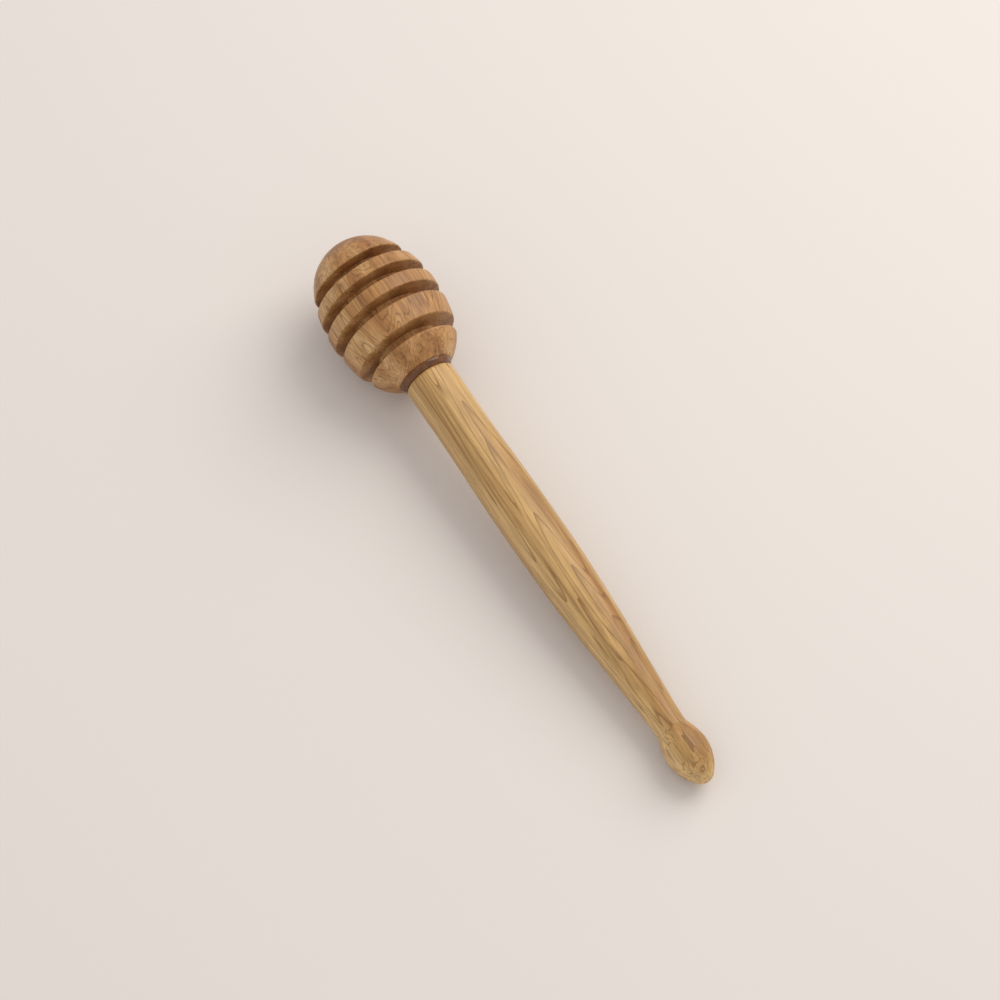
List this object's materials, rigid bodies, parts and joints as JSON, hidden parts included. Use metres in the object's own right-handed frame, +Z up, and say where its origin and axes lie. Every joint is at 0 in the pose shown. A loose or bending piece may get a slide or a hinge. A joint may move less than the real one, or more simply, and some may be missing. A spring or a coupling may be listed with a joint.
{
  "type": "honey dipper",
  "caption": "Wooden honey dipper with an egg-shaped grooved head glued onto a round swelling handle that ends in a turned knob.",
  "frame": {"origin": "on the table, under the middle of the dipper's length, as it lies on its side", "axes": "+X from the tip of the head to the knob, +Z up from the table, +Y to the left when looking along +X"},
  "size_m": [0.1596, 0.0296, 0.0297],
  "materials": {
    "head_wood": "oiled turned olive wood, satin",
    "handle_wood": "oiled turned olive wood, satin",
    "wood_glue": "cured brown wood glue, glossy and uneven"
  },
  "bodies": {
    "root": {"dipper_head": "head_wood", "handle": "handle_wood", "joint_glue": "wood_glue"}
  },
  "joints": []
}
